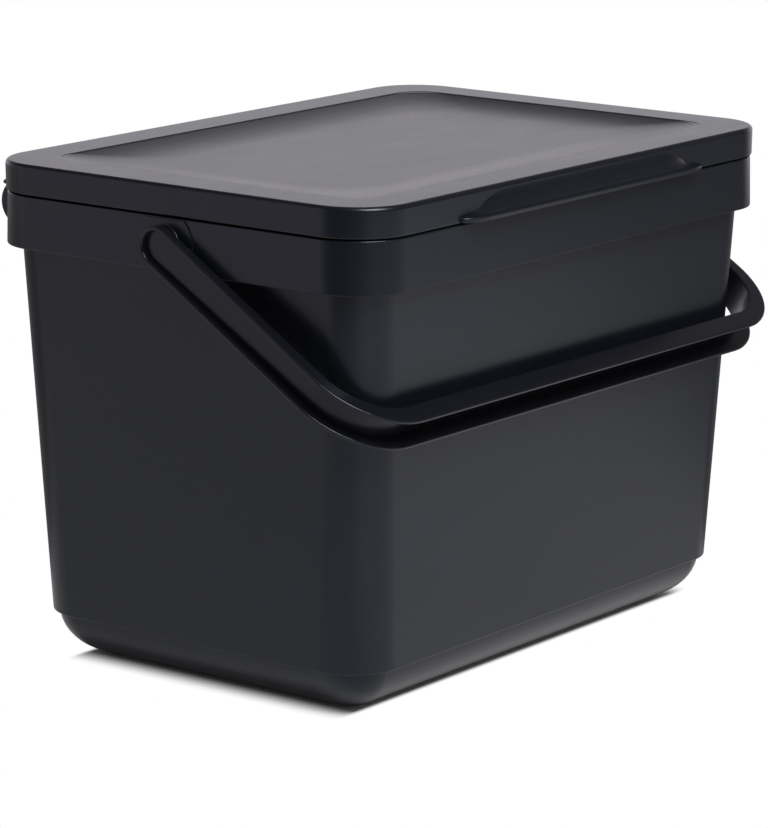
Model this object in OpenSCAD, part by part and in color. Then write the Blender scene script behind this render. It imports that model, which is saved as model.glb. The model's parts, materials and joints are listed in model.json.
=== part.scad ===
// Kitchen compost caddy: a tapered moulded bin with a rim collar, a hinged lid with a finger lip,
// and a bail handle of channel section. The origin is the centre of the base, on the floor.
// The finger lip faces -Y, the hinges are on +Y and the handle pivots on the two X sides.

/* [Bin] */
// Width over the rim
rim_w = 270; // [250:5:310]
// Depth over the rim
rim_d = 188; // [180:2:210]
// Radius of the rim's corners
rim_r = 23; // [20:1:28]
// Height of the bin without its lid
bin_h = 185; // [170:5:215]
// Thickness of the side walls
wall = 1.8; // [1.5:0.1:2.2]
// Thickness of the floor
floor_t = 2.2; // [1.8:0.1:3]
// Height of the collar round the rim
collar_h = 20.5; // [19:0.5:24]
// Thickness of the collar and of the rim over it
collar_t = 1.9; // [1.6:0.1:2.2]
// Distance from the rim line to the wall, at the collar's lower edge
wall_in = 6.1; // [5.9:0.1:7]
// Slope of the side walls, in mm of width for each mm of height
draft = 0.0403; // [0.03:0.005:0.05]

/* [Foot] */
// Height of the rounded foot
foot_h = 18.2; // [15:0.2:22]
// Distance from the rim line to the foot's upper edge
foot_in = 15; // [14:0.2:17]
// Width of the foot's rounding, seen from below
foot_run = 21; // [16:0.5:24]
// Exponent of the foot's rounding: 2 is an ellipse, less is flatter
foot_power = 1.9; // [1.7:0.1:2.4]

/* [Lid] */
// Height of the lid above the seam
lid_h = 12.2; // [11.5:0.1:14]
// Gap between the rim and the lid's lower edge
seam = 0.6; // [0.4:0.1:1]
// Thickness of the lid
lid_t = 1.8; // [1.5:0.1:2.2]
// Width of the raised border round the recess
border = 18; // [15:1:24]
// Depth of the recess in the lid's top
recess = 3; // [2:0.2:4]
// Length of the finger lip along the front
lip_w = 160; // [100:5:180]
// How far the finger lip stands out
lip_out = 5.2; // [4:0.2:6]
// Thickness of the finger lip
lip_t = 2.1; // [1.8:0.1:3]

/* [Hinges] */
// Distance from the middle to the outer face of each outer ear
hinge_x = 108; // [98:1:110]
// Distance between the outer faces of a hinge's two ears
hinge_len = 25; // [20:1:30]
// Thickness of each ear
ear_t = 3; // [2.5:0.1:3.5]
// Radius of the ears
ear_r = 9; // [8.4:0.1:9]
// Radius of the hinge pins
pin_r = 2; // [1.6:0.1:2.2]
// Radius of the lid's knuckles
knuckle_r = 4.8; // [4.2:0.1:5]

/* [Handle] */
// Height of the handle's pivots below the rim
pivot_drop = 10.8; // [10.5:0.1:11]
// Distance of the pivots behind the middle of the bin
pivot_y = 2; // [0:0.5:3]
// Angle of the resting handle below the horizontal
rest_angle = 32; // [28:0.5:32]
// Distance from the pivots to the outside of the bar
reach = 117.1; // [117:0.1:118]
// Distance from the middle to the outside of each arm, at the pivot
arm_x = 140.2; // [140:0.1:141]
// Distance from the middle to the outside of each arm, at its lower end
bend_x = 141.7; // [141.5:0.1:143]
// Radius of the handle's two bends
bend_r = 31.5; // [29:0.5:34]
// Width of the channel at the pivots
eye_w = 15.7; // [14:0.1:16]
// Width of the channel along the bar
bar_w = 14.2; // [13:0.1:15]
// Depth of the channel at the pivots
eye_depth = 4; // [3.8:0.1:4]
// Depth of the channel along the bar
bar_depth = 8.4; // [7.5:0.1:8.4]
// Thickness of the channel's flanges and web
flange = 1.5; // [1.3:0.1:1.8]
// Radius of the pivot pegs
peg_r = 3.5; // [3:0.1:4]

/* [Hidden] */

// Facets of the curved shells, and of pins and bores
shell_fn = 48;
$fn = 64;
// Height of the thin discs that a shell is stretched over
slice = 0.02;
// Small overlap that joins two solids of one moulding
join = 0.5;
// A running fit on the radius, and a gap between faces that pass each other
run_fit = 0.06;
face_gap = 0.35;

anthracite = "#33363b";
black = "#26282c";

collar_z = bin_h - collar_h;
lid_z = bin_h + seam;
top_z = lid_z + lid_h;
foot_shrink = 0.75;
wall_r_top = 17;
wall_r_foot = 21;
collar_in_low = 0.2;
collar_in_top = 0.5;
hinge_y = rim_d / 2 + 5.5;
hinge_z = bin_h - ear_r;
ear_top = 7;
hood_in_r = ear_r + 0.4;
hood_out_r = hood_in_r + 1.5;
hood_end = 45;
hood_over = 0.5;
pivot_z = bin_h - pivot_drop;
boss_r = 8.2;
boss_out = 0.9;
pad_r = 14;
pad_out = 0.4;
head_r = 4.6;
head_t = 1.4;

// Distance from the rim line to the outside of the wall at height z
function wall_in_at(z) = wall_in + (collar_z - z) * draft;
// Points of a round stretch of an outline
function arc(cx, cy, rx, ry, a0, a1, n = 12) =
    [for (i = [0 : n]) let (a = a0 + (a1 - a0) * i / n) [cx + rx * cos(a), cy + ry * sin(a)]];

// Four thin discs at the corners of a rounded rectangle that stands inside the rim line
module ring(inset, r, z) {
    for (sx = [-1, 1], sy = [-1, 1])
        translate([sx * (rim_w / 2 - inset - r), sy * (rim_d / 2 - inset - r), z])
            cylinder(r = r, h = slice, $fn = shell_fn);
}

// Rings down the foot's rounding, all moved inwards by thick and upwards by lift
module foot_rings(thick, lift) {
    steps = 9;
    for (i = [0 : steps]) {
        a = 90 * i / steps;
        run = foot_run * (1 - pow(cos(a), 2 / foot_power));
        z = (foot_h - lift) * (1 - pow(sin(a), 2 / foot_power)) + lift;
        r = rim_r - 6 - foot_shrink * run;
        ring(foot_in + thick + run, max(r, 1), z - (i == 0 ? slice : 0));
    }
}

// Carries a profile drawn in Y and Z along X, from x0 to x1
module along_x(x0, x1) {
    translate([x0, 0, 0])
        rotate([90, 0, 90])
            linear_extrude(x1 - x0)
                children();
}

module collar() {
    difference() {
        hull() {
            ring(collar_in_low, rim_r, collar_z);
            ring(collar_in_top, rim_r, bin_h - slice);
        }
        hull() {
            ring(collar_in_low + collar_t, rim_r - collar_t, collar_z - 1);
            ring(collar_in_top + collar_t, rim_r - collar_t, bin_h - collar_t - slice);
        }
    }
}

module wall_outside() {
    hull() {
        ring(wall_in_at(foot_h), wall_r_foot, foot_h);
        ring(wall_in_at(bin_h), wall_r_top, bin_h - slice);
    }
    hull()
        foot_rings(0, 0);
    // joins the foot to the wall above it
    translate([0, 0, foot_h])
        cube([rim_w - 2 * foot_in - 2 * rim_r, rim_d - 2 * foot_in - 2 * rim_r, 2 * join], center = true);
}

module bin_inside() {
    hull() {
        ring(wall_in_at(bin_h) + wall, wall_r_top - wall, bin_h + slice);
        ring(wall_in_at(foot_h) + wall, wall_r_foot - wall, foot_h + 6);
        foot_rings(wall, floor_t);
    }
}

// Round boss and larger flat pad that stand on the collar round each handle pivot
module pivot_boss(side) {
    face = rim_w / 2 - collar_in_low;
    intersection() {
        translate([side > 0 ? face - collar_t / 2 : -face - pad_out, pivot_y, pivot_z])
            rotate([0, 90, 0])
                cylinder(r = pad_r, h = collar_t / 2 + pad_out);
        translate([-rim_w, pivot_y - pad_r, collar_z + 0.5])
            cube([2 * rim_w, 2 * pad_r, collar_h - 1]);
    }
    translate([side > 0 ? face - collar_t / 2 : -face - boss_out, pivot_y, pivot_z])
        rotate([0, 90, 0])
            cylinder(r = boss_r, h = collar_t / 2 + boss_out);
}

// One hinge ear: round at the back and flat where it meets the collar
module ear(x0) {
    along_x(x0, x0 + ear_t) {
        translate([hinge_y, hinge_z])
            circle(ear_r);
        translate([rim_d / 2 - collar_in_top - join, hinge_z - ear_r])
            square([hinge_y - rim_d / 2 + collar_in_top + join, ear_r + ear_top]);
    }
}

module bin_body() {
    color(anthracite)
    difference() {
        union() {
            wall_outside();
            collar();
            for (side = [-1, 1])
                pivot_boss(side);
            for (x0 = [hinge_x - hinge_len, hinge_x - ear_t]) {
                ear(x0);
                ear(-x0 - ear_t);
            }
        }
        bin_inside();
        // handle pivots
        for (side = [-1, 1])
            translate([side * (rim_w / 2 - collar_t), pivot_y, pivot_z])
                rotate([0, 90, 0])
                    cylinder(r = peg_r + run_fit, h = 4 * collar_t, center = true);
        // hinge pins, pressed through both ears
        for (side = [-1, 1])
            translate([side * (hinge_x - hinge_len / 2), hinge_y, hinge_z])
                rotate([0, 90, 0])
                    cylinder(r = pin_r, h = hinge_len + 2, center = true);
    }
}

// Profile of the hood that arches from the lid's back over the ears
module hood_profile() {
    clear_y = rim_d / 2 + 0.4;
    difference() {
        union() {
            intersection() {
                translate([hinge_y, hinge_z])
                    circle(hood_out_r);
                translate([hinge_y, hinge_z])
                    polygon([[0, 0], [40, 40 * tan(hood_end)], [40, 60], [-40, 60], [-40, 40]]);
            }
            polygon([
                [rim_d / 2 - lid_t / 2, lid_z],
                [rim_d / 2 - lid_t / 2, top_z - 4],
                [rim_d / 2, top_z - 4],
                [hinge_y + hood_out_r * cos(75), hinge_z + hood_out_r * sin(75)],
                [hinge_y, hinge_z + hood_in_r],
            ]);
        }
        translate([hinge_y, hinge_z])
            circle(hood_in_r);
        translate([clear_y - 40, lid_z - 40])
            square([40, 40]);
    }
}

// Knuckle with its web up to the hood, and the heel that meets the collar when the lid stands open
module knuckle_profile() {
    heel_r = 7.4;
    web_r = hood_in_r + join;
    translate([hinge_y, hinge_z]) {
        circle(knuckle_r);
        polygon(concat([[0, 0]], arc(0, 0, web_r, web_r, 50, 108, 2)));
        polygon(concat([[0, 0]], arc(0, 0, heel_r, heel_r, -32, -18, 1)));
    }
}

module lid_hinge(x_low) {
    along_x(x_low - hood_over, x_low + hinge_len + hood_over)
        hood_profile();
    difference() {
        along_x(x_low + ear_t + face_gap, x_low + hinge_len - ear_t - face_gap)
            knuckle_profile();
        translate([x_low + hinge_len / 2, hinge_y, hinge_z])
            rotate([0, 90, 0])
                cylinder(r = pin_r + run_fit, h = hinge_len + 2, center = true);
    }
}

// The lip's outline from above, with quarter-ellipse ends
module finger_lip() {
    end_run = 11;
    front = -rim_d / 2 - lip_out;
    translate([0, 0, lid_z])
        linear_extrude(lip_t)
            polygon(concat(
                [[lip_w / 2, -rim_d / 2 + lid_t / 2], [-lip_w / 2, -rim_d / 2 + lid_t / 2]],
                arc(-lip_w / 2 + end_run, -rim_d / 2, end_run, lip_out, 180, 270, 6),
                arc(lip_w / 2 - end_run, -rim_d / 2, end_run, lip_out, 270, 360, 6)));
    // hollow curve that rises from the lip to the skirt
    rise = 5.5;
    reach_out = lip_out - 1;
    along_x(-lip_w / 2 + end_run, lip_w / 2 - end_run)
        polygon(concat(
            [[-rim_d / 2 + lid_t / 2, lid_z + lip_t - join], [-rim_d / 2 + lid_t / 2, lid_z + lip_t + rise]],
            arc(-rim_d / 2 - reach_out, lid_z + lip_t + rise, reach_out, rise, 360, 270, 6),
            [[front + 1, lid_z + lip_t - join]]));
}

module lid() {
    edge = 1.2;
    rib_in = 9.8;
    rib_t = 1.5;
    rib_drop = 3.5;
    panel_z = top_z - recess - lid_t;
    color(anthracite) {
        difference() {
            union() {
                difference() {
                    // outside, with its top edge rounded over
                    hull() {
                        ring(0.1, rim_r, lid_z);
                        ring(0, rim_r, top_z - edge);
                        ring(0.3 * edge, rim_r - 0.3 * edge, top_z - 0.3 * edge);
                        ring(edge, rim_r - edge, top_z - slice);
                    }
                    // hollow of the skirt and of the raised border
                    hull() {
                        ring(lid_t, rim_r - lid_t, lid_z - 1);
                        ring(lid_t, rim_r - lid_t, top_z - lid_t - slice);
                    }
                }
                // underside of the recessed panel
                hull() {
                    ring(border - lid_t, 14, top_z - lid_t);
                    ring(border - lid_t + 1, 13, panel_z);
                }
                // locating rib that drops inside the bin's rim
                difference() {
                    hull() {
                        ring(rib_in + 0.2, 14, lid_z - rib_drop);
                        ring(rib_in, 14.2, top_z - lid_t);
                    }
                    hull() {
                        ring(rib_in + rib_t, 14 - rib_t, lid_z - rib_drop - 1);
                        ring(rib_in + rib_t, 14 - rib_t, panel_z + lid_t / 2);
                    }
                }
            }
            // recess in the top
            hull() {
                ring(border, 13, top_z + slice);
                ring(border + 2.5, 11, top_z - recess);
            }
        }
        finger_lip();
        lid_hinge(hinge_x - hinge_len);
        lid_hinge(-hinge_x);
    }
}

// Outline of the handle laid flat: X across, distance from the pivots along Y
module bail_outline(x_eye, x_bend, depth, r) {
    far = reach - depth;
    back = eye_w / 2 + 2;
    slope = (x_bend - x_eye) / (reach - bend_r);
    polygon(concat(
        [[-x_eye + slope * back, -back]],
        arc(-x_bend + r, far - bend_r, r, bend_r, 180, 90),
        arc(x_bend - r, far - bend_r, r, bend_r, 90, 0),
        [[x_eye - slope * back, -back]]));
}

// Side view of an arm: round at the pivot and tapering towards the bar, less a margin all round
module arm_profile(margin) {
    circle(eye_w / 2 - margin);
    polygon([
        [0, -eye_w / 2 + margin],
        [reach + 3, -bar_w / 2 + margin],
        [reach + 3, bar_w / 2 - margin],
        [0, eye_w / 2 - margin],
    ]);
}

// The band between two outlines of the handle, cut to the side view of the arms
module bail_band(margin, eye_in, bend_in, depth_in) {
    wide = 2 * bend_x + 20;
    intersection() {
        translate([0, 0, -eye_w])
            linear_extrude(2 * eye_w)
                difference() {
                    bail_outline(arm_x + margin, bend_x + margin, -margin, bend_r + margin);
                    bail_outline(arm_x - eye_in, bend_x - bend_in, depth_in, bend_r - bend_in);
                }
        translate([-wide / 2, 0, 0])
            rotate([90, 0, 90])
                linear_extrude(wide)
                    arm_profile(margin);
    }
}

module carry_handle() {
    web_x = arm_x - eye_depth;
    inner_bend = 6.2;
    skirt_x = rim_w / 2 - collar_in_low - collar_t;
    color(black)
    translate([0, pivot_y, pivot_z])
    rotate([180 + rest_angle, 0, 0])
    union() {
        difference() {
            bail_band(0, eye_depth, inner_bend, bar_depth);
            // channel that opens outwards
            bail_band(flange, eye_depth - flange, inner_bend - flange, bar_depth - flange);
        }
        // pegs that turn in the collar, with heads behind it
        for (side = [-1, 1])
            rotate([0, side * 90, 0]) {
                translate([0, 0, skirt_x - head_t])
                    cylinder(r = peg_r, h = web_x + flange / 2 - skirt_x + head_t);
                translate([0, 0, skirt_x - face_gap - head_t])
                    cylinder(r1 = peg_r, r2 = head_r, h = head_t);
            }
    }
}

module hinge_pin(side) {
    color(black)
    translate([side * (hinge_x - hinge_len / 2), hinge_y, hinge_z])
        rotate([0, 90, 0])
            cylinder(r = pin_r, h = hinge_len, center = true);
}

bin_body();
lid();
carry_handle();
hinge_pin(-1);  // hinge_pin_left
hinge_pin(1);  // hinge_pin_right
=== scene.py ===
import json
import math

import bmesh
import bpy
from mathutils import Matrix, Vector


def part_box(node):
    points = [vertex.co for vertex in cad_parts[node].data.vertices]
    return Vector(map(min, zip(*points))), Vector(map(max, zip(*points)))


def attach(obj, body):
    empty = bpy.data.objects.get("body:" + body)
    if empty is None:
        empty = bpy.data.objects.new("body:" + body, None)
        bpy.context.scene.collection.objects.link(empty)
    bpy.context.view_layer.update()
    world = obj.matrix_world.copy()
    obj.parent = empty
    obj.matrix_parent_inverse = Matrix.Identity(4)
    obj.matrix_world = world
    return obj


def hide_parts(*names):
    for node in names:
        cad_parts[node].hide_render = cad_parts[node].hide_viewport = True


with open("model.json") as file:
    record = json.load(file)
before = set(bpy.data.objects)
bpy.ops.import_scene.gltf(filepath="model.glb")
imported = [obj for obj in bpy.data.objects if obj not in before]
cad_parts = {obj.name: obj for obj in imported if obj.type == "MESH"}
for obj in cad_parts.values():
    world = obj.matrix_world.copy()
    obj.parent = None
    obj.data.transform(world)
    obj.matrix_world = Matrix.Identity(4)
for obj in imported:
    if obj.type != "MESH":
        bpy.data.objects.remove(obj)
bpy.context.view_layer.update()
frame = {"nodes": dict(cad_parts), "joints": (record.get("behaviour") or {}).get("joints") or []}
MM = 0.001

# ---------------------------------------------------------------- driving sizes, in millimetres
bin_high, lid_high, bail_high = (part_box(node)[1] / MM for node in ("bin_body", "lid", "carry_handle"))
pin_low, pin_high = (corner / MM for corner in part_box("hinge_pin_left"))

RIM_X = lid_high.x                      # half of the width over the rim
RIM_Y = 94.0                            # half of the depth over the rim
RIM_R = 23.0                            # radius of the rim's corners
BIN_H = bin_high.z
LID_TOP = lid_high.z - 0.5              # the top is drawn a little lower than its box
WALL = 1.8                              # side walls of the bin
LID_T = 1.8                             # skirt and panel of the lid
COLLAR_H = 20.5
COLLAR_T = 1.9
COLLAR_Z = BIN_H - COLLAR_H
COLLAR_IN = (0.2, 0.5)                  # from the rim line to the collar, at its foot and its top
DRAFT = 0.0403                          # slope of the side walls
WALL_IN = 6.1                           # from the rim line to the wall, at the collar's foot
WALL_R = (21.0, 17.0)                   # corner radius of the walls, at the foot and at the rim
WALL_LEVELS = (60, 110, 150)            # heights between the foot and the rim
FOOT_H, FOOT_IN, FOOT_RUN, FOOT_POWER = 18.2, 15.0, 21.0, 1.9
FLOOR_T = 2.2
EDGE = 0.6                              # rounding of the mouldings' outer edges
FACE_GAP = 0.35                         # between two faces that turn past each other

SEAM = 0.6
LID_Z = BIN_H + SEAM
LID_EDGE = 1.7                          # rounding of the lid's top edge
BORDER = 18.0                           # raised border round the recess
RECESS = 3.2                            # depth at the middle of the panel
DISH_RISE, DISH_RUN, DISH_R = 2.8, 26.0, 26.0   # the panel curves up to the recess's low wall
RIB_IN, RIB_T, RIB_DROP, RIB_R = 9.8, 1.5, 3.5, 14.0    # rib that centres the lid in the rim
LIP_W, LIP_OUT, LIP_T, LIP_END = 160.0, 5.2, 2.1, 16.0  # finger lip and the length of its round ends
COVE_H, COVE_END = 7.8, 14.0            # hollow curve over the lip

HINGE = (pin_high + pin_low) / 2        # middle of the left hinge's pin
HINGE_LEN = pin_high.x - pin_low.x
EAR_T, EAR_R, PIN_R, KNUCKLE_R = 3.0, 9.0, 2.0, 4.8
EAR_DROP = 2.0                          # the ears' shoulder drops by this towards the collar
HOOD_IN, HOOD_T, HOOD_OVER = EAR_R + 0.4, 1.5, 0.5
HOOD_LOW, HOOD_HIGH, HOOD_TIP = 45.0, 125.0, 75.0       # angles about the pin, from +Y upwards
# reach and the two angles of each bar that stands on the knuckle
KNUCKLE_BARS = {"knuckle_web": (HOOD_IN + 0.5, 50, 108), "knuckle_heel": (7.4, -32, -18)}

PIVOT_Y, PIVOT_Z = (v / MM for v in frame["joints"][1]["pos_m"][1:])
BOSS_R, BOSS_T, PAD_R, PAD_T = 8.2, 0.9, 14.0, 0.4      # boss round each pivot, and the pad behind it
REST_ANGLE = 32.0                       # how far the resting handle hangs below the horizontal
REACH = 117.1                           # from the pivots to the outside of the bar
ARM_X, BEND_X, BEND_R = 140.2, bail_high.x, 31.5
EYE_W, BAR_W = 15.7, 14.2
EYE_DEPTH, BEND_DEPTH, BAR_DEPTH = 4.0, 6.2, 8.4
FLANGE = 1.5                            # thickness of the channel's three sides
PEG_R, PEG_HEAD_R, PEG_HEAD_T = 3.5, 4.6, 1.4


# ---------------------------------------------------------------- small helpers
def start(primitive, name, **settings):
    """Adds a primitive with nothing else selected and opens it in edit mode."""
    if bpy.context.object and bpy.context.object.mode != "OBJECT":
        bpy.ops.object.mode_set(mode="OBJECT")
    bpy.ops.object.select_all(action="DESELECT")
    primitive(**settings)
    piece = bpy.context.object
    piece.name = piece.data.name = name
    bpy.ops.object.transform_apply(location=True, rotation=True, scale=True)
    bpy.ops.object.mode_set(mode="EDIT")
    return piece


def select(kind, test):
    """In edit mode, selects the vertices, edges or faces whose middle passes the test."""
    piece = bpy.context.edit_object
    bpy.ops.mesh.select_mode(type=kind)
    bpy.ops.mesh.select_all(action="DESELECT")
    shape = bmesh.from_edit_mesh(piece.data)
    parts = {"VERT": shape.verts, "EDGE": shape.edges, "FACE": shape.faces}[kind]
    for part in parts:
        corners = [part] if kind == "VERT" else part.verts
        middle = sum((v.co for v in corners), Vector()) / len(corners) / MM
        if test(middle, part):
            part.select_set(True)
    shape.select_flush_mode()
    bmesh.update_edit_mesh(piece.data)


def marked():
    """Index and place, in millimetres, of each selected vertex."""
    shape = bmesh.from_edit_mesh(bpy.context.edit_object.data)
    return {v.index: v.co / MM for v in shape.verts if v.select}


def mark(indexes, kind="VERT"):
    """Selects vertices by index, with the edges and faces that lie wholly between them."""
    bpy.ops.mesh.select_mode(type="VERT")
    bpy.ops.mesh.select_all(action="DESELECT")
    shape = bmesh.from_edit_mesh(bpy.context.edit_object.data)
    shape.verts.ensure_lookup_table()
    for i in indexes:
        shape.verts[i].select_set(True)
    shape.select_flush(True)
    bpy.ops.mesh.select_mode(type=kind)


def move(x=0.0, y=0.0, z=0.0):
    bpy.ops.transform.translate(value=(x * MM, y * MM, z * MM))


def extrude(x=0.0, y=0.0, z=0.0):
    bpy.ops.mesh.extrude_region_move(TRANSFORM_OT_translate={"value": (x * MM, y * MM, z * MM)})


def resize(value, centre):
    bpy.ops.transform.resize(value=value, center_override=[c * MM for c in centre])


def modify(piece, kind, **settings):
    """Adds a modifier and applies it."""
    bpy.ops.object.mode_set(mode="OBJECT")
    bpy.ops.object.select_all(action="DESELECT")
    bpy.context.view_layer.objects.active = piece
    piece.select_set(True)
    modifier = piece.modifiers.new(kind.title(), kind)
    for key, value in settings.items():
        setattr(modifier, key, value)
    bpy.ops.object.modifier_apply(modifier=modifier.name)


def soften(piece, width, segments=2, angle=40):
    """Rounds every edge that turns by more than the angle."""
    modify(piece, "BEVEL", width=width * MM, segments=segments, limit_method="ANGLE",
           angle_limit=math.radians(angle))


def cut(tool, *pieces):
    """Cuts the tool out of each piece and removes it."""
    for piece in pieces:
        modify(piece, "BOOLEAN", operation="DIFFERENCE", object=tool, solver="EXACT")
    bpy.data.objects.remove(tool)


def turn(degrees, steps):
    """The angles at the start and the end of each step of a turn, in radians."""
    angles = [math.radians(degrees * i / steps) for i in range(steps + 1)]
    return zip(angles, angles[1:])


def outwards(piece):
    """Merges doubles and turns every face of a closed shell outwards."""
    bpy.context.view_layer.objects.active = piece
    bpy.ops.object.mode_set(mode="EDIT")
    bpy.ops.mesh.select_all(action="SELECT")
    bpy.ops.mesh.remove_doubles(threshold=0.00001)
    bpy.ops.mesh.normals_make_consistent(inside=False)
    bpy.ops.object.mode_set(mode="OBJECT")


def copy_of(piece, name, x=0.0, mirror=False):
    """A copy with its own mesh, moved or mirrored along X."""
    twin = piece.copy()
    twin.data = piece.data.copy()
    twin.name = twin.data.name = name
    bpy.context.scene.collection.objects.link(twin)
    twin.data.transform(Matrix.Translation((x * MM, 0, 0)))
    if mirror:
        twin.data.transform(Matrix.Scale(-1, 4, (1, 0, 0)))
        outwards(twin)
    return twin


def moulded(name, parts, body, node, material, angle=32):
    """Joins the parts of one moulding, smooths its faces and puts it in the frame."""
    if bpy.context.object and bpy.context.object.mode != "OBJECT":
        bpy.ops.object.mode_set(mode="OBJECT")
    bpy.ops.object.select_all(action="DESELECT")
    for part in parts:
        part.select_set(True)
    piece = parts[0]
    bpy.context.view_layer.objects.active = piece
    if len(parts) > 1:
        bpy.ops.object.join()
    piece.name = piece.data.name = name
    bpy.ops.object.shade_smooth_by_angle(angle=math.radians(angle))
    modify(piece, "WEIGHTED_NORMAL", keep_sharp=True, weight=80)
    piece.data.materials.clear()
    piece.data.materials.append(material)
    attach(piece, body)
    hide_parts(node)
    return piece


# ---------------------------------------------------------------- materials
def linear(code):
    """An sRGB hex colour as linear RGBA."""
    parts = [int(code[i : i + 2], 16) / 255 for i in (1, 3, 5)]
    return [c / 12.92 if c <= 0.04045 else ((c + 0.055) / 1.055) ** 2.4 for c in parts] + [1.0]


def add(tree, kind, inputs=None, **settings):
    """Adds a node with its settings; an input given as a socket is linked."""
    made = tree.nodes.new(kind)
    for key, value in settings.items():
        setattr(made, key, value)
    for key, value in (inputs or {}).items():
        if isinstance(value, bpy.types.NodeSocket):
            tree.links.new(value, made.inputs[key])
        else:
            made.inputs[key].default_value = value
    return made


def moulded_plastic(name, dark, light, roughness, grain_mm, grain_depth):
    """Plastic moulded in a finely spark-eroded tool: a near-black satin skin whose tone drifts a
    little with the flow of the melt, and whose gloss breaks up in the grain."""
    material = bpy.data.materials.new(name)
    material.use_nodes = True
    tree = material.node_tree
    tree.nodes.clear()
    place = add(tree, "ShaderNodeTexCoord").outputs["Object"]
    # slow drift of the tone, in clouds about 45 mm wide
    clouds = add(tree, "ShaderNodeTexNoise", {"Vector": place, "Scale": 1 / (45 * MM), "Detail": 3.0,
                                              "Roughness": 0.5})
    tone = add(tree, "ShaderNodeMix", {"Factor": clouds.outputs["Fac"], "A": linear(dark),
                                       "B": linear(light)}, data_type="RGBA")
    # the real grain is about 0.1 mm, which is drawn coarser here so that it shows
    grain = add(tree, "ShaderNodeTexNoise", {"Vector": place, "Scale": 1 / (grain_mm * MM),
                                             "Detail": 2.0, "Roughness": 0.6})
    # faint rubbing marks where hands and cloths pass, about 42 mm long in X and 12 mm wide: 24 and 80
    # to the metre
    stretched = add(tree, "ShaderNodeMapping", {"Vector": place, "Scale": (24.0, 80.0, 80.0)})
    rubbing = add(tree, "ShaderNodeTexNoise", {"Vector": stretched.outputs["Vector"], "Scale": 1.0,
                                               "Detail": 4.0, "Roughness": 0.65})
    worn = add(tree, "ShaderNodeMath", {0: grain.outputs["Fac"], 1: rubbing.outputs["Fac"]},
               operation="ADD")
    gloss = add(tree, "ShaderNodeMapRange", {"Value": worn.outputs["Value"], "From Min": 0.6,
                                             "From Max": 1.4, "To Min": roughness - 0.015,
                                             "To Max": roughness + 0.02})
    bump = add(tree, "ShaderNodeBump", {"Height": grain.outputs["Fac"], "Strength": grain_depth,
                                        "Distance": 0.05 * MM})
    shader = add(tree, "ShaderNodeBsdfPrincipled", {
        "Base Color": tone.outputs["Result"], "Roughness": gloss.outputs["Result"],
        "IOR": 1.49, "Specular Tint": linear("#eaedff"), "Normal": bump.outputs["Normal"]})
    add(tree, "ShaderNodeOutputMaterial", {"Surface": shader.outputs["BSDF"]})
    return material


# polypropylene coloured with carbon black and a little blue: anthracite, with an even satin grain
anthracite_bin = moulded_plastic("anthracite_moulded_polypropylene_bin", "#121419", "#16181f",
                                 roughness=0.28, grain_mm=0.9, grain_depth=0.3)
# the same melt in a shallower grain, so that the lid's wide faces stay calm
anthracite_lid = moulded_plastic("anthracite_moulded_polypropylene_lid", "#121419", "#16181f",
                                 roughness=0.28, grain_mm=0.9, grain_depth=0.12)
# black polypropylene from a smoother tool, a little glossier
black_handle = moulded_plastic("black_moulded_polypropylene_handle", "#121318", "#15161b",
                               roughness=0.25, grain_mm=0.8, grain_depth=0.25)
# black acetal, a hard and slippery bearing plastic with the closest gloss
black_pin = moulded_plastic("black_moulded_acetal_pin", "#101114", "#131417",
                            roughness=0.22, grain_mm=0.7, grain_depth=0.2)


# ---------------------------------------------------------------- mouldings on a rounded rectangle
def shell(name, levels, steps=12):
    """A closed moulding whose levels are rounded rectangles. Each level is its distance inside the
    rim line, its corner radius and its height. One face is extruded from level to level."""
    inset, radius, height = levels[0]
    piece = start(bpy.ops.mesh.primitive_plane_add, name, size=1, location=(0, 0, height * MM))
    bpy.ops.mesh.select_all(action="SELECT")
    resize((2 * (RIM_X - inset) * MM, 2 * (RIM_Y - inset) * MM, 1), (0, 0, height))
    bpy.ops.mesh.bevel(offset=radius * MM, segments=steps, affect="VERTICES")
    bpy.ops.mesh.select_mode(type="FACE")
    bpy.ops.mesh.select_all(action="SELECT")
    for new_inset, new_radius, new_height in levels[1:]:
        extrude(z=new_height - height)
        ring = marked()
        middle_x, middle_y = RIM_X - inset - radius, RIM_Y - inset - radius
        grow = new_radius / radius
        shift = (inset + radius) - (new_inset + new_radius)
        for side_x in (-1, 1):
            for side_y in (-1, 1):
                mark([i for i, at in ring.items() if at.x * side_x > 0 and at.y * side_y > 0])
                resize((grow, grow, 1), (side_x * middle_x, side_y * middle_y, new_height))
                move(side_x * shift, side_y * shift)
        mark(ring, "FACE")
        inset, radius, height = new_inset, new_radius, new_height
    bpy.ops.object.mode_set(mode="OBJECT")
    outwards(piece)
    return piece


def fillet(inset, height, size, turn_from, turn_to, radius, radius_at, steps=4):
    """Levels round an edge. The middle of the rounding is at inset and height; angle 0 points
    outwards and 90 up. radius is the corner radius at the distance radius_at from the rim line."""
    levels = []
    for i in range(steps + 1):
        angle = math.radians(turn_from + (turn_to - turn_from) * i / steps)
        at = inset - size * math.cos(angle)
        levels.append((at, radius + radius_at - at, height + size * math.sin(angle)))
    return levels


def wall_in_at(height):
    """Distance from the rim line to the wall's outside."""
    return WALL_IN + (COLLAR_Z - height) * DRAFT


def wall_r_at(height):
    """Corner radius of the wall's outside."""
    share = (height - FOOT_H) / (BIN_H - FOOT_H)
    return WALL_R[0] + (WALL_R[1] - WALL_R[0]) * share


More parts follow.
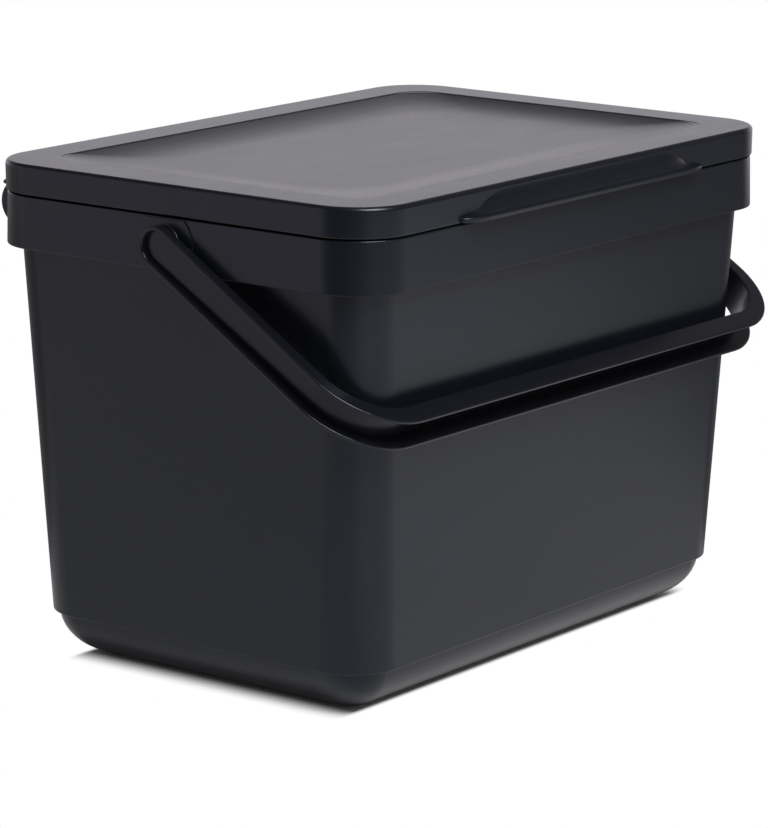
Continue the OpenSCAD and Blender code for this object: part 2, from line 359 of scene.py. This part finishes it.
def foot_levels(thick, lift, steps=12):
    """The foot's soft rounding, from the base up; its corners close up as it runs in."""
    corner, closing = RIM_R - 6, 0.75
    levels = []
    for i in range(steps, -1, -1):
        angle = math.radians(90 * i / steps)
        run = FOOT_RUN * (1 - math.cos(angle) ** (2 / FOOT_POWER))
        height = (FOOT_H - lift) * (1 - math.sin(angle) ** (2 / FOOT_POWER)) + lift
        levels.append((FOOT_IN + thick + run, max(corner - closing * run, 1), height))
    return levels


def bin_shell():
    """The bin in one skin: up the outside, over the rim, down the inside and across the floor."""
    wall_foot = wall_in_at(FOOT_H)
    wall_soft = 0.5                     # soft lower edge of the wall, which stands out over the foot
    collar_flat = 0.7                   # flat underside of the collar
    inside_foot = FOOT_H + 6            # where the inside begins to round into the floor
    rim_in = wall_in_at(BIN_H) + WALL
    rim_under = BIN_H - COLLAR_T
    low_in, high_in = COLLAR_IN
    levels = foot_levels(0, 0)
    levels += fillet(wall_foot + wall_soft, FOOT_H + wall_soft, wall_soft, -90, 0, WALL_R[0], wall_foot)
    levels += [(wall_in_at(h), wall_r_at(h), h) for h in WALL_LEVELS + (rim_under,)]
    # underside of the rim, then down and round the collar's lower edge
    levels += [(high_in + COLLAR_T, RIM_R - COLLAR_T, rim_under)]
    levels += fillet(low_in + EDGE + collar_flat, COLLAR_Z + EDGE, EDGE, 180, 270, RIM_R, low_in)
    levels += fillet(low_in + EDGE, COLLAR_Z + EDGE, EDGE, -90, 0, RIM_R, low_in)
    # up the collar and over the rim
    levels += fillet(high_in + EDGE, BIN_H - EDGE, EDGE, 0, 90, RIM_R, high_in)
    levels += fillet(rim_in - EDGE, BIN_H - EDGE, EDGE, 90, 180, WALL_R[1] - WALL, rim_in)
    levels += [(wall_in_at(h) + WALL, wall_r_at(h) - WALL, h)
               for h in WALL_LEVELS[::-1] + (inside_foot,)]
    levels += foot_levels(WALL, FLOOR_T)[::-1]
    return shell("bin_shell", levels)


def lid_shell():
    """The lid in one skin: out over the dished panel, down the skirt and back along the underside."""
    panel = LID_TOP - RECESS
    under = LID_TOP - LID_T
    recess_in, recess_r, border_r, soft = BORDER + 0.7, 17.0, 13.0, 0.4
    skirt_in = 0.1                      # the skirt leans in a little towards its lower edge
    root = 0.5                          # rounding and chamfer where rib and border meet the panel
    # panel, dished up towards the recess's low wall
    levels, steps = [], 12
    for i in range(steps):
        out = i / steps
        levels.append((recess_in + soft + DISH_RUN * (1 - out), DISH_R + (recess_r - DISH_R) * out,
                       panel + DISH_RISE * out ** 2))
    levels += fillet(recess_in + soft, panel + DISH_RISE + soft, soft, -78, -45, recess_r, recess_in)
    levels += fillet(BORDER - soft + 0.3, LID_TOP - soft, soft, 135, 90, border_r, BORDER)
    # border, top edge, skirt and its soft lower edge
    levels += fillet(LID_EDGE, LID_TOP - LID_EDGE, LID_EDGE, 90, 0, RIM_R, 0, 6)
    levels += fillet(skirt_in + EDGE, LID_Z + EDGE, EDGE, 0, -90, RIM_R, skirt_in)
    levels += [(LID_T - 0.2, RIM_R - LID_T + 0.2, LID_Z), (LID_T, RIM_R - LID_T, LID_Z + 0.3)]
    # hollow of the border, and the rib
    levels += [(LID_T, RIM_R - LID_T, under - 0.6), (LID_T + 0.6, RIM_R - LID_T - 0.6, under)]
    rib_out, rib_out_r = RIB_IN + RIB_T, RIB_R - RIB_T
    rib_low = LID_Z - RIB_DROP + root
    levels += [(RIB_IN - root, RIB_R + root, under), (RIB_IN, RIB_R, under - root)]
    levels += fillet(RIB_IN + 0.6, rib_low, root, 0, -90, RIB_R, RIB_IN)
    levels += fillet(rib_out - root, rib_low, root, 270, 180, rib_out_r, rib_out)
    levels += [(rib_out, rib_out_r, under - root), (rib_out + root, rib_out_r - root, under)]
    # underside of the panel
    hollow = BORDER - LID_T
    levels += [(hollow - root, RIB_R + root, under), (hollow, RIB_R, under - root)]
    levels += [(hollow + 1, border_r, panel - LID_T + root)]
    levels += [(hollow + 1 + root, border_r - root, panel - LID_T)]
    return shell("lid_shell", levels)


# ---------------------------------------------------------------- small parts of the bin
def disc(name, x_from, x_to, y, z, radius, vertices=64):
    """A cylinder along X, open in edit mode."""
    return start(bpy.ops.mesh.primitive_cylinder_add, name, vertices=vertices, radius=radius * MM,
                 depth=(x_to - x_from) * MM, location=((x_from + x_to) / 2 * MM, y * MM, z * MM),
                 rotation=(0, math.pi / 2, 0))


def hinge_ear():
    """One ear: round at the back, and drawn forward into the collar."""
    x = HINGE.x - HINGE_LEN / 2
    ear = disc("hinge_ear", x, x + EAR_T, HINGE.y, HINGE.z, EAR_R)
    bpy.ops.mesh.select_all(action="SELECT")
    bpy.ops.mesh.bisect(plane_co=HINGE * MM, plane_no=(0, 1, 0), clear_inner=True, use_fill=True)
    select("FACE", lambda m, face: face.normal.y < -0.9)
    rooted = 0.5
    extrude(y=RIM_Y - COLLAR_IN[1] - rooted - HINGE.y)
    # clear of the lid's hood
    select("VERT", lambda m, vert: m.y < RIM_Y and m.z > HINGE.z)
    move(z=-EAR_DROP)
    drill = disc("pin_drill", x - 1, x + EAR_T + 1, HINGE.y, HINGE.z, PIN_R + 0.02, 48)
    bpy.ops.object.mode_set(mode="OBJECT")
    cut(drill, ear)
    soften(ear, 0.4)
    outwards(ear)
    return ear


def pivot_boss():
    """Boss round the handle's pivot, with the larger flat pad behind it, on the +X side. Both are
    rooted in the collar, and the pad ends at the collar's soft edges."""
    face = RIM_X - COLLAR_IN[0]
    boss = disc("pivot_boss", face - 1.0, face + BOSS_T, PIVOT_Y, PIVOT_Z, BOSS_R, 72)
    soften(boss, 0.35, segments=3)
    pad = disc("pivot_pad", face - 0.8, face + PAD_T, PIVOT_Y, PIVOT_Z, PAD_R, 96)
    for height, way in ((COLLAR_Z + EDGE, 1), (BIN_H - EDGE, -1)):
        bpy.ops.mesh.select_all(action="SELECT")
        bpy.ops.mesh.bisect(plane_co=(0, 0, height * MM), plane_no=(0, 0, way), clear_inner=True,
                            use_fill=True)
    soften(pad, 0.1, segments=1)
    return [boss, pad]


def bin_moulding():
    body = bin_shell()
    bosses = pivot_boss()
    bosses += [copy_of(part, part.name + "_left", mirror=True) for part in bosses]
    ear = hinge_ear()
    ears = [ear, copy_of(ear, "hinge_ear_inner", x=HINGE_LEN - EAR_T)]
    ears += [copy_of(part, part.name + "_right", mirror=True) for part in ears]
    # the peg bores go through the collar only, so the drill stops short of the wall
    drill = disc("peg_drill", RIM_X - 4, RIM_X + 3, PIVOT_Y, PIVOT_Z, PEG_R + 0.06, 48)
    bpy.ops.object.mode_set(mode="OBJECT")
    cut(copy_of(drill, "peg_drill_left", mirror=True), body, *bosses)
    cut(drill, body, *bosses)
    return moulded("bin_moulding", [body] + bosses + ears, "bin", "bin_body",
                   anthracite_bin)


# ---------------------------------------------------------------- small parts of the lid
def finger_lip():
    """Lip along the front of the lid, with the hollow curve that rises from it to the skirt."""
    back = -RIM_Y + LID_T / 2
    depth = LIP_OUT + LID_T / 2
    soft = 0.6
    low = depth - 0.25                  # the front face leans out a little towards its top
    lip = start(bpy.ops.mesh.primitive_plane_add, "finger_lip", size=1, location=(0, 0, LID_Z * MM))
    bpy.ops.mesh.select_all(action="SELECT")
    resize((LIP_W * MM, LIP_END * MM, 1), (0, 0, LID_Z))
    move(y=back - LIP_END / 2)
    # quarter-round ends that stop just short of the skirt, pressed flat to quarter ellipses
    select("VERT", lambda m, vert: m.y < back - 1)
    bpy.ops.mesh.bevel(offset=LIP_END * 0.92 * MM, segments=12, affect="VERTICES")
    bpy.ops.mesh.select_mode(type="FACE")
    bpy.ops.mesh.select_all(action="SELECT")
    resize((1, depth / LIP_END, 1), (0, back, 0))

    def draw_in(now, then, ends=0.0):
        """Brings the newest face's front edge back from one reach to the next, and its ends in."""
        resize((1 - 2 * ends / LIP_W, then / now, 1), (0, back, 0))

    draw_in(depth, low - soft, soft)
    for now, then in turn(90, 3):
        extrude(z=soft * (math.cos(now) - math.cos(then)))
        draw_in(low - soft + soft * math.sin(now), low - soft + soft * math.sin(then),
                -soft * (math.sin(then) - math.sin(now)))
    extrude(z=LIP_T - 2 * soft)
    draw_in(low, depth)
    for now, then in turn(90, 3):
        extrude(z=soft * (math.sin(then) - math.sin(now)))
        draw_in(depth - soft + soft * math.cos(now), depth - soft + soft * math.cos(then),
                soft * (math.cos(now) - math.cos(then)))
    # hollow curve: drawn in fast at first, then straight up, a hair inside the skirt
    reach, last = LIP_OUT - 1.1, LID_T / 2 - 0.03
    extrude()
    draw_in(depth - soft, reach + last, 0.6)
    for now, then in turn(90, 10):
        extrude(z=COVE_H * (math.cos(now) - math.cos(then)))
        draw_in(last + reach * (1 - math.sin(now)), last + reach * (1 - math.sin(then)),
                COVE_END * (math.sin(then) - math.sin(now)))
    outwards(lip)
    return lip


def bar_along_x(name, x_from, x_to, corners):
    """A bar along X with four long edges, each moved to its own y and z."""
    bar = start(bpy.ops.mesh.primitive_cube_add, name, size=2 * MM,
                location=((x_from + x_to) / 2 * MM, 0, 0), scale=((x_to - x_from) / 2, 1, 1))
    bpy.ops.mesh.select_all(action="SELECT")
    cube = marked()
    for (side_y, side_z), (y, z) in corners.items():
        mark([i for i, at in cube.items() if at.y * side_y > 0 and at.z * side_z > 0])
        move(y=y - side_y, z=z - side_z)
    outwards(bar)
    return bar


def lid_hood():
    """Hood that arches over the two ears of one hinge, and the wedge that carries it."""
    half = HINGE_LEN / 2 + HOOD_OVER
    out, middle = HOOD_IN + HOOD_T, HINGE.y + HOOD_IN + HOOD_T / 2
    hood = start(bpy.ops.mesh.primitive_plane_add, "hinge_hood", size=1,
                 location=(HINGE.x * MM, middle * MM, HINGE.z * MM))
    bpy.ops.mesh.select_all(action="SELECT")
    resize((2 * half * MM, HOOD_T * MM, 1), (HINGE.x, middle, HINGE.z))
    centre = Vector((0, HINGE.y, HINGE.z)) * MM
    bpy.ops.transform.rotate(value=-math.radians(HOOD_LOW), orient_axis="X", center_override=centre)
    bpy.ops.mesh.spin(steps=18, angle=-math.radians(HOOD_HIGH - HOOD_LOW), center=centre, axis=(1, 0, 0))
    bpy.ops.mesh.select_all(action="SELECT")
    bpy.ops.mesh.bisect(plane_co=(0, (RIM_Y - LID_T / 2) * MM, 0), plane_no=(0, 1, 0), clear_inner=True,
                        use_fill=True)
    outwards(hood)
    soften(hood, 0.35, angle=50)
    tip = math.radians(HOOD_TIP)
    wedge = bar_along_x("hinge_wedge", HINGE.x - half, HINGE.x + half, {
        (-1, 1): (RIM_Y - LID_T / 2, LID_TOP - 4),
        (1, 1): (HINGE.y + out * math.cos(tip), HINGE.z + out * math.sin(tip)),
        (-1, -1): (RIM_Y - LID_T / 2, LID_Z + 0.3),
        (1, -1): (HINGE.y, HINGE.z + HOOD_IN + 0.2),
    })
    soften(wedge, 0.3, angle=50)
    return [hood, wedge]


def lid_knuckle():
    """Bored knuckle between the ears, with its web and its heel."""
    half = HINGE_LEN / 2 - EAR_T - FACE_GAP
    x_from, x_to = HINGE.x - half, HINGE.x + half
    knuckle = disc("knuckle", x_from, x_to, HINGE.y, HINGE.z, KNUCKLE_R)
    select("FACE", lambda m, face: abs(face.normal.x) > 0.9)
    bpy.ops.mesh.inset(thickness=(KNUCKLE_R - PIN_R - 0.06) * MM)
    bpy.ops.mesh.delete(type="FACE")
    select("EDGE", lambda m, edge: edge.is_boundary)
    bpy.ops.mesh.bridge_edge_loops()
    outwards(knuckle)
    parts = [knuckle]
    near = PIN_R + 0.5
    for name, (reach, low, high) in KNUCKLE_BARS.items():
        corners = {}
        for side_y, out in ((-1, near), (1, reach)):
            for side_z, angle in ((-1, math.radians(low)), (1, math.radians(high))):
                corners[side_y, side_z] = (HINGE.y + out * math.cos(angle),
                                           HINGE.z + out * math.sin(angle))
        parts.append(bar_along_x(name, x_from, x_to, corners))
    return parts


def lid_moulding():
    parts = lid_hood() + lid_knuckle()
    parts += [copy_of(part, part.name + "_right", mirror=True) for part in parts]
    return moulded("lid_moulding", [lid_shell(), finger_lip()] + parts, "lid",
                   "lid", anthracite_lid)


# ---------------------------------------------------------------- the handle
def handle_peg():
    """Peg that turns in the collar, with its head behind it, on the +X side."""
    inner = RIM_X - COLLAR_IN[0] - COLLAR_T - FACE_GAP - PEG_HEAD_T
    web = ARM_X - EYE_DEPTH
    peg = disc("handle_peg", inner, web + FLANGE / 2, 0, 0, PEG_R, 48)
    select("FACE", lambda m, face: face.normal.x < -0.9)
    extrude()
    resize((1, PEG_HEAD_R / PEG_R, PEG_HEAD_R / PEG_R), (inner, 0, 0))
    bpy.ops.object.mode_set(mode="OBJECT")
    return peg


def bail_half():
    """Half of the handle, laid flat: the arm runs along +Y from the pivot, the bar along X.
    A channel profile is turned round the eye, drawn down the arm, turned round the bend and
    drawn along the bar."""
    web = ARM_X - EYE_DEPTH
    half = EYE_W / 2
    piece = start(bpy.ops.mesh.primitive_plane_add, "bail", size=0.001, location=(web * MM, 0, 0))
    bpy.ops.mesh.select_mode(type="VERT")
    bpy.ops.mesh.select_all(action="SELECT")
    bpy.ops.mesh.merge(type="CENTER")
    extrude(z=half)
    extrude(x=EYE_DEPTH)
    extrude(z=-FLANGE)
    extrude(x=FLANGE - EYE_DEPTH)
    extrude(z=FLANGE - half)
    # soft outer edges on the flange
    select("VERT", lambda m, vert: abs(m.z) > 1 and (m.z > half - 0.1 or m.x > ARM_X - 0.1))
    bpy.ops.mesh.bevel(offset=0.6 * MM, segments=4, affect="VERTICES")
    bpy.ops.mesh.select_mode(type="EDGE")
    bpy.ops.mesh.select_all(action="SELECT")
    bpy.ops.mesh.spin(steps=20, angle=-math.pi, center=(web * MM, 0, 0), axis=(1, 0, 0))
    bpy.ops.mesh.select_all(action="SELECT")
    bpy.ops.mesh.remove_doubles(threshold=0.00001)
    # the open ends of the turned part are the channel's full profile
    select("EDGE", lambda m, edge: edge.is_boundary)
    bend_y = REACH - BEND_R
    narrow = (EYE_W - BAR_W) / 2 / REACH
    flange_z = 3.0                      # a vertex further than this from the middle is a flange's

    def draw_on(outward, rim, web_shift, rim_shift, close):
        """Moves the web and the rim of the newest profile, and closes its flanges a little.
        outward tells how far out a place is; from rim on, it is the flanges' outer edge."""
        ring = marked()
        for test, shift in (
            (lambda at: outward(at) < rim, web_shift), (lambda at: outward(at) >= rim, rim_shift),
            (lambda at: at.z > flange_z, (0, 0, -close)), (lambda at: at.z < -flange_z, (0, 0, close)),
        ):
            mark([i for i, at in ring.items() if test(at)])
            move(*shift)
        mark(ring, "EDGE")

    # down the arm, which leans out and narrows a little
    stations = 4
    run = bend_y / stations
    web_x, rim_x = (BEND_X - BEND_DEPTH - web) / stations, (BEND_X - ARM_X) / stations
    for i in range(stations):
        extrude(y=run)
        draw_on(lambda at: at.x, ARM_X + rim_x * i - 1.0, (web_x, 0, 0), (rim_x, 0, 0), narrow * run)
    # round the bend, with the web drawn deeper step by step
    turns = 14
    centre = Vector((BEND_X - BEND_R, bend_y, 0))
    for now, then in turn(90, turns):
        extrude()
        bpy.ops.transform.rotate(value=now - then, orient_axis="Z", center_override=centre * MM)
        way = Vector((math.cos(then), math.sin(then), 0))
        deeper = -way * (BAR_DEPTH - BEND_DEPTH) / turns
        draw_on(lambda at: (at - centre).dot(way), BEND_R - 1.0, deeper, (0, 0, 0),
                narrow * BEND_R / turns)
    # along the bar to its middle
    extrude(x=-centre.x / 2)
    extrude(x=-centre.x / 2)
    bpy.ops.object.mode_set(mode="OBJECT")
    return piece


def handle_moulding():
    """The whole handle, turned to its rest against the front wall."""
    bail = bail_half()
    modify(bail, "MIRROR", use_axis=(True, False, False), use_mirror_merge=True, merge_threshold=0.00005)
    outwards(bail)
    peg = handle_peg()
    parts = [bail, peg, copy_of(peg, "handle_peg_left", mirror=True)]
    rest = (Matrix.Translation((0, PIVOT_Y * MM, PIVOT_Z * MM))
            @ Matrix.Rotation(math.radians(180 + REST_ANGLE), 4, "X"))
    for part in parts:
        part.data.transform(rest)
    return moulded("handle_moulding", parts, "handle", "carry_handle", black_handle)


bin_moulding()
lid_moulding()
handle_moulding()
for side in ("left", "right"):
    pin = frame["nodes"]["hinge_pin_" + side]
    pin.data.materials.clear()
    pin.data.materials.append(black_pin)


# ---------------------------------------------------------------- studio
def studio_floor():
    """White paper sheet. It keeps the bin's shadow close to the foot, and to the camera it is plain
    white beyond. In the gloss it glows with painted light."""
    bpy.ops.object.select_all(action="DESELECT")
    # a hair below the foot, so that the two don't share a plane
    bpy.ops.mesh.primitive_plane_add(size=1, location=(0, 0, -0.2 * MM))
    floor = bpy.context.object
    floor.name = "studio_floor"
    # the sheet reaches further behind the bin and to its right
    wide, long = 1.82, 2.7
    floor.data.transform(Matrix.Translation((0.31, 0.15, 0)) @ Matrix.Diagonal((wide, long, 1, 1)))
    material = bpy.data.materials.new("matt_white_paper_with_painted_glow")
    material.use_nodes = True
    tree = material.node_tree
    tree.nodes.clear()
    place = add(tree, "ShaderNodeTexCoord").outputs["Object"]
    # distance from the foot's outline, given as half of its width and depth
    foot = (0.105, 0.065, 0)
    aside = add(tree, "ShaderNodeVectorMath", {0: place}, operation="ABSOLUTE")
    past = add(tree, "ShaderNodeVectorMath", {0: aside.outputs["Vector"], 1: foot}, operation="SUBTRACT")
    beyond = add(tree, "ShaderNodeVectorMath", {0: past.outputs["Vector"], 1: (0, 0, 0)},
                 operation="MAXIMUM")
    # the shadow is shorter in front, so distance counts for more there
    uneven = add(tree, "ShaderNodeVectorMath", {0: beyond.outputs["Vector"], 1: (1.0, 4.5, 1.0)},
                 operation="MULTIPLY")
    far = add(tree, "ShaderNodeVectorMath", {0: uneven.outputs["Vector"]}, operation="LENGTH")
    # the camera sees the shadow for 17 mm, and white paper beyond
    fade = add(tree, "ShaderNodeMapRange", {"Value": far.outputs["Value"], "From Min": 0.0,
                                            "From Max": 0.017}, interpolation_type="SMOOTHSTEP")
    matt = add(tree, "ShaderNodeBsdfDiffuse", {"Color": linear("#f9f9f9")})
    white = add(tree, "ShaderNodeEmission", {"Color": linear("#ffffff"), "Strength": 1.0})
    path = add(tree, "ShaderNodeLightPath")
    share = add(tree, "ShaderNodeMath", {0: fade.outputs["Result"], 1: path.outputs["Is Camera Ray"]},
                operation="MULTIPLY")
    mixed = add(tree, "ShaderNodeMixShader", {"Fac": share.outputs["Value"], 1: matt.outputs["BSDF"],
                                              2: white.outputs["Emission"]})
    # painted light: the gloss shows the sheet glowing, brighter in front, and dim where it runs off
    # behind, in place of paper lit by the lamps
    side = add(tree, "ShaderNodeVectorMath", {0: place, 1: (0.61, -0.79, 0)}, operation="DOT_PRODUCT")
    glow = add(tree, "ShaderNodeMapRange", {"Value": side.outputs["Value"], "From Min": -0.03,
                                            "From Max": 0.06, "To Min": 0.56, "To Max": 0.74},
               interpolation_type="SMOOTHSTEP")
    right = add(tree, "ShaderNodeVectorMath", {0: place, 1: (1, 1, 0)}, operation="DOT_PRODUCT")
    fall = add(tree, "ShaderNodeMapRange", {"Value": right.outputs["Value"], "From Min": 0.07,
                                            "From Max": 0.14, "To Min": glow.outputs["Result"],
                                            "To Max": 0.2}, interpolation_type="SMOOTHSTEP")
    lit = add(tree, "ShaderNodeEmission", {"Color": linear("#ffffff"),
                                           "Strength": fall.outputs["Result"]})
    # and it leaves the contact dark
    clear = add(tree, "ShaderNodeMapRange", {"Value": far.outputs["Value"], "From Min": 0.0,
                                             "From Max": 0.065}, interpolation_type="SMOOTHSTEP")
    seen = add(tree, "ShaderNodeMath", {0: path.outputs["Is Glossy Ray"], 1: clear.outputs["Result"]},
               operation="MULTIPLY")
    both = add(tree, "ShaderNodeMixShader", {"Fac": seen.outputs["Value"], 1: mixed.outputs["Shader"],
                                             2: lit.outputs["Emission"]})
    add(tree, "ShaderNodeOutputMaterial", {"Surface": both.outputs["Shader"]})
    floor.data.materials.append(material)


def studio_world():
    """A white backdrop behind the bin in a dim room; the camera sees white all round."""
    world = bpy.data.worlds.new("white_backdrop")
    bpy.context.scene.world = world
    world.use_nodes = True
    tree = world.node_tree
    tree.nodes.clear()
    path = add(tree, "ShaderNodeLightPath")
    mirrored = add(tree, "ShaderNodeMath", {0: path.outputs["Is Glossy Ray"],
                                            1: path.outputs["Is Transmission Ray"]}, operation="MAXIMUM")
    way = add(tree, "ShaderNodeTexCoord").outputs["Generated"]
    # the backdrop: white up to a height, and only behind the bin
    height = add(tree, "ShaderNodeSeparateXYZ", {"Vector": way})
    below = add(tree, "ShaderNodeMapRange", {"Value": height.outputs["Z"], "From Min": 0.19,
                                             "From Max": 0.42, "To Min": 1.0, "To Max": 0.1},
                interpolation_type="SMOOTHSTEP")
    behind = add(tree, "ShaderNodeVectorMath", {0: way, 1: (0.79, 0.61, 0.0)}, operation="DOT_PRODUCT")
    middle = add(tree, "ShaderNodeMapRange", {"Value": behind.outputs["Value"], "From Min": 0.4,
                                              "From Max": 0.8}, interpolation_type="SMOOTHSTEP")
    backdrop = add(tree, "ShaderNodeMath", {0: below.outputs["Result"], 1: middle.outputs["Result"]},
                   operation="MULTIPLY")
    # a paler wall on the left, in a room that is otherwise dim
    beside = add(tree, "ShaderNodeVectorMath", {0: way, 1: (-0.61, 0.79, 0.0)}, operation="DOT_PRODUCT")
    wall = add(tree, "ShaderNodeMapRange", {"Value": beside.outputs["Value"], "From Min": 0.8,
                                            "From Max": 0.95, "To Min": 0.06, "To Max": 0.6})
    room = add(tree, "ShaderNodeMapRange", {"Value": backdrop.outputs["Value"],
                                            "To Min": wall.outputs["Result"], "To Max": 1.0})
    # soft light all round, what the gloss shows, and what the camera sees
    around = add(tree, "ShaderNodeMapRange", {"Value": mirrored.outputs["Value"], "To Min": 0.2,
                                              "To Max": room.outputs["Result"]})
    strength = add(tree, "ShaderNodeMapRange", {"Value": path.outputs["Is Camera Ray"],
                                                "To Min": around.outputs["Result"], "To Max": 1.0})
    # the gloss shows the backdrop as a cool white paper
    paper = add(tree, "ShaderNodeMix", {"Factor": mirrored.outputs["Value"], "A": linear("#ffffff"),
                                        "B": linear("#fdf9ff")}, data_type="RGBA")
    back = add(tree, "ShaderNodeBackground", {"Color": paper.outputs["Result"],
                                              "Strength": strength.outputs["Result"]})
    add(tree, "ShaderNodeOutputWorld", {"Surface": back.outputs["Background"]})


def soft_lamp(name, place, size, watts, mirrored=True):
    """A square softbox aimed at the middle of the bin, which the gloss shows or not."""
    lamp = bpy.data.lights.new(name, "AREA")
    lamp.size = size
    lamp.energy = watts
    holder = bpy.data.objects.new(name, lamp)
    holder.visible_glossy = mirrored
    bpy.context.scene.collection.objects.link(holder)
    aim = Vector((0, 0, BIN_H / 2 * MM))
    holder.location = place
    holder.rotation_mode = "QUATERNION"
    holder.rotation_quaternion = (Vector(place) - aim).to_track_quat("Z", "Y")


def studio_camera():
    """Long lens at a low three-quarter view, turned to the front left corner."""
    heading, dip, roll = -52.60, 12.85, 0.28
    data = bpy.data.cameras.new("camera")
    data.lens = 176.6
    data.clip_start, data.clip_end = 0.1, 20
    camera = bpy.data.objects.new("camera", data)
    bpy.context.scene.collection.objects.link(camera)
    camera.matrix_world = (Matrix.Translation((-1.26261, -0.96334, 0.44865))
                           @ Matrix.Rotation(math.radians(heading), 4, "Z")
                           @ Matrix.Rotation(math.radians(90 - dip), 4, "X")
                           @ Matrix.Rotation(math.radians(roll), 4, "Z"))
    bpy.context.scene.camera = camera


studio_floor()
studio_world()
soft_lamp("top_softbox", (-0.25, -0.62, 0.87), 0.5, 9)
soft_lamp("front_fill", (1.6, -1.5, 1.0), 1.0, 6, mirrored=False)
studio_camera()
bpy.context.scene.view_settings.view_transform = "Standard"
